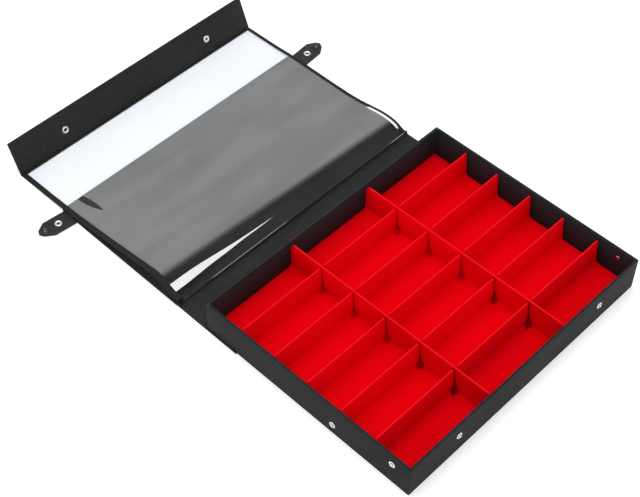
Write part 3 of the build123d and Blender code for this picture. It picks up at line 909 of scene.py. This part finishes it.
wander = random.Random(18)
for side, (centre, _, length) in COLUMNS.items():
    model = divider(length)
    for row in range(1, DIVIDER_ROWS + 1):
        y_place = (row - (DIVIDER_ROWS + 1) / 2) * ROW_PITCH
        drift = [wander.uniform(0, 9) for _ in range(3)]
        leaf = copied(model, f"{side}_divider_{row}")

        def bend(x, y, z):
            up = (z - PAD_REST) / (DIVIDER_TOP - PAD_REST)
            near_end = ease((abs(x) - length / 2 + 16) / 16)
            inset = (END_GAP + END_UNDERCUT * ease((1 - up) * 1.15)) * near_end
            sway = 0.45 * up * noise.noise(Vector((x / 60 + drift[0], drift[1], 0)))
            sag = 0.25 * up * noise.noise(Vector((x / 38, drift[2], 1)))
            spread = math.copysign(PLEAT_SPREAD * (1 - up), y) if abs(y) > 0.2 else 0
            return (x - math.copysign(inset, x) + centre, y + spread + y_place + sway, z + sag)

        shape(leaf, bend)
        piece(leaf, "tray", DIVIDER_PILE, [f"divider_{side}_{row}"])
    bpy.data.objects.remove(model)


def partition(name, x):
    """A velvet-covered board with a rounded top, flared where it meets the floors."""
    flare_top = PAD_REST + PARTITION_FLARE
    wall = block(
        name, (x - PARTITION_HALF, -PARTITION_END, flare_top),
        (x + PARTITION_HALF, PARTITION_END, PARTITION_TOP),
    )
    with editing(wall):
        for end, radius, cuts in ((1, 10, 7), (-1, 4, 5)):
            pick(wall, "edges", lambda e: running(0)(e) and e.verts[0].co.z > 50 * MM
                 and e.verts[0].co.y * end > 150 * MM)
            bpy.ops.mesh.bevel(offset=radius * MM, segments=cuts, affect="EDGES")
        pick(wall, "faces", lambda f: f.normal.z < -0.9)
        flare_out(wall, 0, x, PARTITION_HALF, PARTITION_FLARE, flare_top, 5)
    with editing(wall):
        bpy.ops.mesh.select_all(action="SELECT")
        bpy.ops.mesh.normals_make_consistent(inside=False)
        pick(wall, "edges", lambda e: running(1, 200)(e) and e.verts[0].co.z > 54 * MM)
        bpy.ops.mesh.bevel(offset=1.0 * MM, segments=3, affect="EDGES")
        pick(wall, "edges", running(1, 200))
        bpy.ops.mesh.subdivide(number_cuts=60)
    shape(wall, lambda px, py, pz: (
        px + 0.35 * ease((pz - 10) / 40) * noise.noise(Vector((py / 70, x, 0))),
        py, pz + 0.2 * ease((pz - 30) / 20) * noise.noise(Vector((py / 45, x, 5))),
    ))
    smooth(wall, 50)
    return wall


for side, sign in SIDES:
    piece(
        partition(f"{side}_long_partition", sign * PARTITION_X),
        "tray", PARTITION_PILE, [f"partition_{side}"],
    )

# Snaps
stud_model = turned("stud", 5.2, [
    (0.45, 5.2), (0.8, 4.95), (0.9, 4.5), (0.9, 3.4), (0.55, 3.0), (0.5, 2.1), (0.9, 1.85),
    (1.5, 1.8), (1.9, 2.1), (2.3, 2.1), (2.55, 1.7), (2.6, 1.1), (2.35, 0.7), (2.3, 0.2),
])
cap_model = turned("cap", 4.6, [(0.4, 4.6), (0.9, 4.3), (1.2, 3.6), (1.36, 2.4), (1.4, 1.0)])
socket_model = turned("socket", 5.9, [
    (0.7, 5.9), (1.1, 5.7), (1.3, 5.2), (1.3, 4.3), (1.0, 3.9), (0.8, 3.5), (0.9, 3.0),
    (0.9, 2.6), (0.5, 2.45), (0.12, 2.3), (0.1, 1.2), (0.1, 0.2),
])
recess_model = turned("recess", 3.3, [(0.66, 3.3), (0.7, 3.1), (0.68, 1.2), (0.7, 0.3)])
heart_model = turned("heart", 2.28, [(0.13, 2.28), (0.15, 2.1), (0.14, 1.2), (0.15, 0.3)])


def towards(x, y, z, turn, tip=90):
    """A place on a wall, for a part drawn lying on the floor."""
    return (
        Matrix.Translation((x, y, z)) @ Matrix.Rotation(math.radians(turn), 4, "Z")
        @ Matrix.Rotation(math.radians(tip), 4, "X")
    )


front_places = [towards(x, -TRAY_Y, FRONT_SNAP_Z, 0) for x in FRONT_SNAPS]
side_places = [towards(s * TRAY_X, y, z, 90 * s) for s in (-1, 1) for y, z in SIDE_SNAPS]
inside_places = [towards(x, -INNER_Y, FRONT_SNAP_Z, 180) for x in FRONT_SNAPS] + [
    towards(s * INNER_X, y, z, -90 * s) for s in (-1, 1) for y, z in SIDE_SNAPS
]
set_of(stud_model, "front_snap_studs", front_places, "tray", NICKEL, ["front_studs"])
set_of(stud_model, "side_snap_studs", side_places, "tray", NICKEL, ["side_studs"])
set_of(cap_model, "inner_rivet_caps", inside_places, "tray", CAP_NICKEL, ["rivet_caps"])
set_of(recess_model, "stud_recesses", front_places + side_places, "tray", DARK_SNAP)

# Front flap
flap_place = Matrix.Translation(FLAP_FOLD) @ Matrix.Rotation(FLAP_LEAN, 4, "X")
for name, low, high, edge, node, slot, finish in (
    ("flap_front_skin", (-LID_X, FLAP_START, -0.5), (LID_X, FLAP_END, 0.0), 0.24,
     "flap_inner_skin", "black_lining", LID_LEATHER),
    ("flap_stiffener", (-244, 1.2, -2.0), (244, 57.5, -0.5), 0.2, "flap_board", "board", CARD),
    ("flap_back_skin", (-LID_X, FLAP_START, -FLAP_THICK), (LID_X, FLAP_END, -2.0), 0.24,
     "flap_outer_skin", "black_leatherette", LID_LEATHER),
):
    slab = moved(panel(name, low, high, edge, 2.0), flap_place)
    piece(slab, "front_flap", finish, [node])

flap_edges = [
    ("flap_turned_edge", (-LID_X, 57.2), (LID_X, FLAP_END)),
    ("flap_base_turned_edge", (-LID_X, FLAP_START), (LID_X, 1.1)),
]
for side, sign in SIDES:
    left, right = side_ends(sign, LID_X - 0.8, LID_X)
    flap_edges.append((f"flap_{side}_turned_edge", (left, FLAP_START), (right, 57.4)))
for name, low, high in flap_edges:
    edge = moved(turned_edge(name, (*low, -FLAP_THICK), (*high, 0.0), 0.38), flap_place)
    piece(edge, "front_flap", LID_LEATHER)

on_flap = [flap_place @ Matrix.Translation((x, FLAP_SNAP_REACH, 0)) for x in FRONT_SNAPS]
behind_flap = [
    flap_place @ Matrix.Translation((x, FLAP_SNAP_REACH, -FLAP_THICK))
    @ Matrix.Rotation(math.pi, 4, "X") @ Matrix.Diagonal((1, 1, 0.7, 1))
    for x in FRONT_SNAPS
]
set_of(socket_model, "flap_ring_snaps", on_flap, "front_flap", NICKEL, ["flap_sockets"])
set_of(heart_model, "flap_snap_hearts", on_flap, "front_flap", DARK_SNAP)
set_of(cap_model, "flap_snap_caps", behind_flap, "front_flap", NICKEL, ["flap_caps"])

# Spine and cover
for name, low, high, edge, corner, node, slot, finish, body in (
    ("spine_outside", (-LID_X, SPINE_START, 0), (LID_X, SPINE_END, 0.5), 0.2, 1.2,
     "spine_outer_skin", "black_leatherette", LID_LEATHER, "spine"),
    ("spine_lining", (-LID_X, SPINE_START, 1.5), (LID_X, SPINE_END, 2.0), 0.2, 1.2,
     "spine_inner_skin", "black_lining", LID_LEATHER, "spine"),
    ("cover_outside", (-COVER_X, COVER_START, 0), (COVER_X, COVER_END, 0.6), 0.28, 3,
     "cover_outer_skin", "black_leatherette", LID_LEATHER, "cover"),
    ("cover_lining", (-COVER_X, COVER_START, 2.0), (COVER_X, COVER_END, 2.6), 0.28, 3,
     "cover_inner_skin", "black_lining", LID_LEATHER, "cover"),
):
    piece(panel(name, low, high, edge, corner), body, finish, [node])

cover_edges = []
for side, sign in SIDES:
    left, right = side_ends(sign, COVER_X - 0.9, COVER_X)
    cover_edges.append((f"cover_{side}_turned_edge", (left, COVER_START), (right, COVER_END - 2)))
cover_edges.append(
    ("cover_front_turned_edge", (-COVER_X + 2, COVER_END - 0.9), (COVER_X - 2, COVER_END))
)
for name, low, high in cover_edges:
    edge = turned_edge(name, (*low, 0.1), (*high, 2.5), 0.4)
    piece(edge, "cover", LID_LEATHER)

rear_welt = block("rear_sewn_welt", (-LID_X, SPINE_END - 2, 2.0), (LID_X, SPINE_END, WELT_TOP))
with editing(rear_welt):
    pick(rear_welt, "edges", running(0, 200))
    bpy.ops.mesh.subdivide(number_cuts=80)
    pick(rear_welt, "edges", lambda e: running(0)(e) and e.verts[0].co.z > 7 * MM
         and e.verts[0].co.y < 250 * MM)
    bpy.ops.transform.translate(value=(0, 0.9 * MM, 0))
    pick(rear_welt, "edges", lambda e: running(0)(e) and e.verts[0].co.z > 7 * MM)
    bpy.ops.mesh.bevel(offset=0.4 * MM, segments=3, affect="EDGES")
smooth(rear_welt, 50)
# The welt wears the lighter leatherette, painted light against the shade on its front face
piece(rear_welt, "spine", WELT_LIGHTENED_LEATHER, ["rear_welt"])

# Window
# Pale strips on the welt's top edge: a painted glint on the film's cut edge
edge_glint_parts = []
for start, end in ((-176, SEAM_GLINT_SPAN[0]), (SEAM_GLINT_SPAN[1], 235.4)):
    edge_glint = block("edge_glint", (start, EDGE_GLINT_Y[0], 7.9), (end, EDGE_GLINT_Y[1], 8.4))
    with editing(edge_glint):
        pick(edge_glint, "faces", lambda f: abs(f.normal.x) > 0.9)
        bpy.ops.mesh.inset(thickness=0.1 * MM, depth=2.0 * MM)
    edge_glint_parts.append(edge_glint)
piece(joined("film_cut_edge_painted_glint", edge_glint_parts), "spine", CUT_EDGE_GLINT)
# A seam thread along the welt's top between the two cut edge glints, made pale as a dimmer painted
# glint
piece(
    panel(
        "welt_top_seam_glint", (SEAM_GLINT_SPAN[0], EDGE_GLINT_Y[0], 7.85), (SEAM_GLINT_SPAN[1], EDGE_GLINT_Y[1], 8.3), 0.12, 0.1
    ),
    "spine", SEAM_THREAD_GLINT,
)

riser_film = block(
    "riser_clear_film", (-FILM_X, 250.55, WELT_TOP), (FILM_X, 251.05, CREASE_Z - 0.6)
)
round_edges(riser_film, 0.15, 1)
piece(riser_film, "spine", FILM, ["film_riser"])

riser_tapes = []
for sign, top in ((-1, 15.5), (1, 7.5)):
    left, right = side_ends(sign, LID_X - BINDING, LID_X)
    riser_tapes.append(panel("tape", (left, 250.0, 2.0), (right, 251.6, top), 0.5, 0.5))
piece(joined("riser_edge_bindings", riser_tapes), "spine", TAPE, ["riser_bindings"])

window = sheet("slack_window_film", (-FILM_X, CREASE_Y), (FILM_X, FILM_FRONT), 60, 130)
shape(window, lambda x, y, z: (x, y, window_height(x, y)))
modify(window, "SOLIDIFY", thickness=0.4 * MM, offset=0)
smooth(window)
piece(window, "window", FILM, ["window_film", "film_crease"])
settles_flat(window)


def binding_width(side, y):
    """The right binding is seen narrow, most of all where it lifts into an arch."""
    if side == "left":
        return BINDING
    return 6.0 - 1.4 * ease((y - ARCH_START) / 14) * ease((ARCH_END - y) / 14)


sewn_on = []
for side, sign in SIDES:
    left, right = side_ends(sign, LID_X - BINDING, LID_X)
    tape = sheet(f"{side}_edge_binding", (left, CREASE_Y), (right, FILM_FRONT), 6, 150)

    def narrow(x, y, z):
        x = sign * (LID_X - (LID_X - abs(x)) * binding_width(side, y) / BINDING)
        return (x, y, window_height(x, y))

    shape(tape, narrow)
    modify(tape, "SOLIDIFY", thickness=BINDING_THICK * MM, offset=0)
    round_edges(tape, 0.5, 2, 60)
    smooth(tape)
    piece(tape, "window", TAPE, [f"{side}_binding"])
    settles_flat(tape)
    seam = stitch_row(f"{side}_binding_stitches", STITCH_RUN, STITCH_PITCH)

    def along_edge(x, y, z):
        y += STITCH_START
        x += sign * (LID_X - binding_width(side, y) + STITCH_INSET)
        return (x, y, z + window_height(x, y) + BINDING_THICK / 2 - 0.05)

    shape(seam, along_edge)
    piece(seam, "window", THREAD)
    settles_flat(seam)
    sewn_on += [tape, seam]

welt_place = Matrix.Translation((0, CREASE_Y, CREASE_Z)) @ Matrix.Rotation(-FILM_SLOPE, 4, "X")
front_welt = panel(
    "front_sewn_welt", (-LID_X, FRONT_WELT[0], -0.9), (LID_X, FRONT_WELT[1], 0.8), 0.5, 0.8
)
moved(front_welt, welt_place)
piece(front_welt, "window", LID_LEATHER, ["front_welt"])
sewn_on.append(front_welt)


# Folds of the soft lid
def hinge_fold(name, low, high, start, end, finish):
    """A soft strip that bridges a fold, cut into small faces along and across it."""
    strip = block(name, low, high)
    axis = max(range(2), key=lambda k: abs(end[k] - start[k]))
    with editing(strip):
        pick(strip, "edges", running(axis))
        bpy.ops.mesh.subdivide(number_cuts=7)
        pick(strip, "edges", running(1 - axis, 20))
        bpy.ops.mesh.subdivide(number_cuts=11)
    smooth(strip, 50)
    dress(strip, finish)
    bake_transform(strip)


hinge_fold(
    "rear_outer_fold", (-LID_X + 0.3, 189.5, 0.06), (LID_X - 0.3, 193.3, 0.46),
    (0, 190.4, 0.3), (0, 192.4, 0.3), LID_LEATHER,
)
hinge_fold(
    "cover_outer_fold", (-LID_X + 0.3, 250.6, 0.06), (LID_X - 0.3, 254.9, 0.5),
    (0, 251.6, 0.3), (0, 253.8, 0.3), LID_LEATHER,
)
hinge_fold(
    "flap_fold_strip", (-LID_X, 613.5, 0.3), (LID_X, 618.6, 0.9),
    (0, 615.4, 0.5), (0, 616.8, 0.5), LID_LEATHER,
)


# Tabs
def soft_copy(node, name, edge):
    """A node's own shape as a new mesh, its loose triangles merged and its edges rounded."""
    obj = copied(frame["nodes"][node], name)
    for key in list(obj.keys()):
        del obj[key]
    obj.parent = None
    with editing(obj):
        bpy.ops.mesh.select_all(action="SELECT")
        bpy.ops.mesh.remove_doubles(threshold=0.01 * MM)
        bpy.ops.mesh.dissolve_limited(angle_limit=math.radians(1))
    round_edges(obj, edge, 2, 40)
    smooth(obj)
    return obj


for side, _ in SIDES:
    tab = soft_copy(f"{side}_tab", f"{side}_side_tab", 0.32)
    piece(tab, f"{side}_tab", TAB_LEATHER, [f"{side}_tab"])
    for kind, title, slot, finish, heart_slot, heart_finish in (
        ("ring", "bright_ring_snap", "nickel", NICKEL, "black_snap", DARK_SNAP),
        ("tip", "dark_tip_snap", "black_snap", DARK_SNAP, "nickel", DULL_NICKEL),
    ):
        node = f"{side}_tab_{kind}_snap"
        low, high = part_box(node)
        place = Matrix.Translation([(a + b) / 2 / MM for a, b in zip(low[:2], high[:2])] + [TAB_TOP])
        snap = moved(copied(socket_model, f"{side}_{title}"), place)
        piece(snap, f"{side}_tab", finish, [node])
        heart = moved(copied(heart_model, f"{side}_{kind}_snap_heart"), place)
        piece(heart, f"{side}_tab", heart_finish)
for model in (stud_model, cap_model, socket_model, recess_model, heart_model):
    bpy.data.objects.remove(model)


# Studio
CAMERA_ANGLES = (-45.623, 49.196, 0.095)
CAMERA_PLACE = (-0.98364, -0.7500, 1.59043)
CAMERA_LENS, CAMERA_SENSOR = 78.55, 36.0
CAMERA_SHIFT = (0.0047, -0.0277)


def studio():
    """A pale floor, a white world and two soft lamps. The floor glows only for rays that
    see it, so that it looks paler and doesn't light the case from below."""
    bpy.ops.object.select_all(action="DESELECT")
    bpy.ops.mesh.primitive_plane_add(size=12, location=(0, 0, -0.0004))
    floor = bpy.context.object
    floor.name = "studio_floor"
    paper = Finish("studio_paper", Roughness=0.9, Specular_IOR_Level=0.1)
    rays = [
        paper.add("ShaderNodeLightPath", output=f"Is {kind} Ray")
        for kind in ("Camera", "Glossy", "Transmission")
    ]
    seen = (rays[0] + rays[1] + rays[2]).clamped()
    mottle = paper.noise(paper.place(), 3, 2)
    paper.surface(Base_Color=paper.blend(mottle, (0.90, 0.90, 0.90, 1), (0.92, 0.92, 0.92, 1)))
    paper.surface(Emission_Color=paper.blend(seen, (0, 0, 0, 1), (1, 1, 1, 1)), Emission_Strength=0.22)
    dress(floor, paper.material)

    world = bpy.data.worlds.new("studio_world")
    bpy.context.scene.world = world
    world.use_nodes = True
    world.node_tree.nodes["Background"].inputs["Color"].default_value = (1, 1, 1, 1)
    world.node_tree.nodes["Background"].inputs["Strength"].default_value = 0.76

    for name, place, aim, size, power in (
        ("key_lamp", (-0.2, 0.5, 2.5), (0, 0.1, 0), 2.2, 38),
        ("fill_lamp", (-0.5, -1.9, 1.9), (0.1, 0, 0), 2.0, 14),
    ):
        lamp = bpy.data.lights.new(name, "AREA")
        lamp.shape, lamp.size, lamp.energy = "DISK", size, power
        holder = bpy.data.objects.new(name, lamp)
        bpy.context.scene.collection.objects.link(holder)
        holder.location = place
        holder.rotation_euler = (Vector(aim) - Vector(place)).to_track_quat("-Z", "Y").to_euler()


def look():
    """The camera, solved from the tray's corners in the photograph."""
    turn, lift, roll = (math.radians(a) for a in CAMERA_ANGLES)
    back = Vector((math.sin(turn) * math.cos(lift), -math.cos(turn) * math.cos(lift), math.sin(lift)))
    right = Vector((math.cos(turn), math.sin(turn), 0))
    up = back.cross(right)
    right, up = (
        math.cos(roll) * right + math.sin(roll) * up,
        -math.sin(roll) * right + math.cos(roll) * up,
    )
    camera = bpy.data.objects.new("camera", bpy.data.cameras.new("camera"))
    bpy.context.scene.collection.objects.link(camera)
    aim = Matrix((right, up, back)).transposed().to_4x4()
    camera.matrix_world = Matrix.Translation(CAMERA_PLACE) @ aim
    camera.data.lens, camera.data.sensor_width = CAMERA_LENS, CAMERA_SENSOR
    camera.data.shift_x, camera.data.shift_y = CAMERA_SHIFT
    bpy.context.scene.camera = camera


studio()
look()
bpy.context.scene.view_settings.view_transform = "Standard"
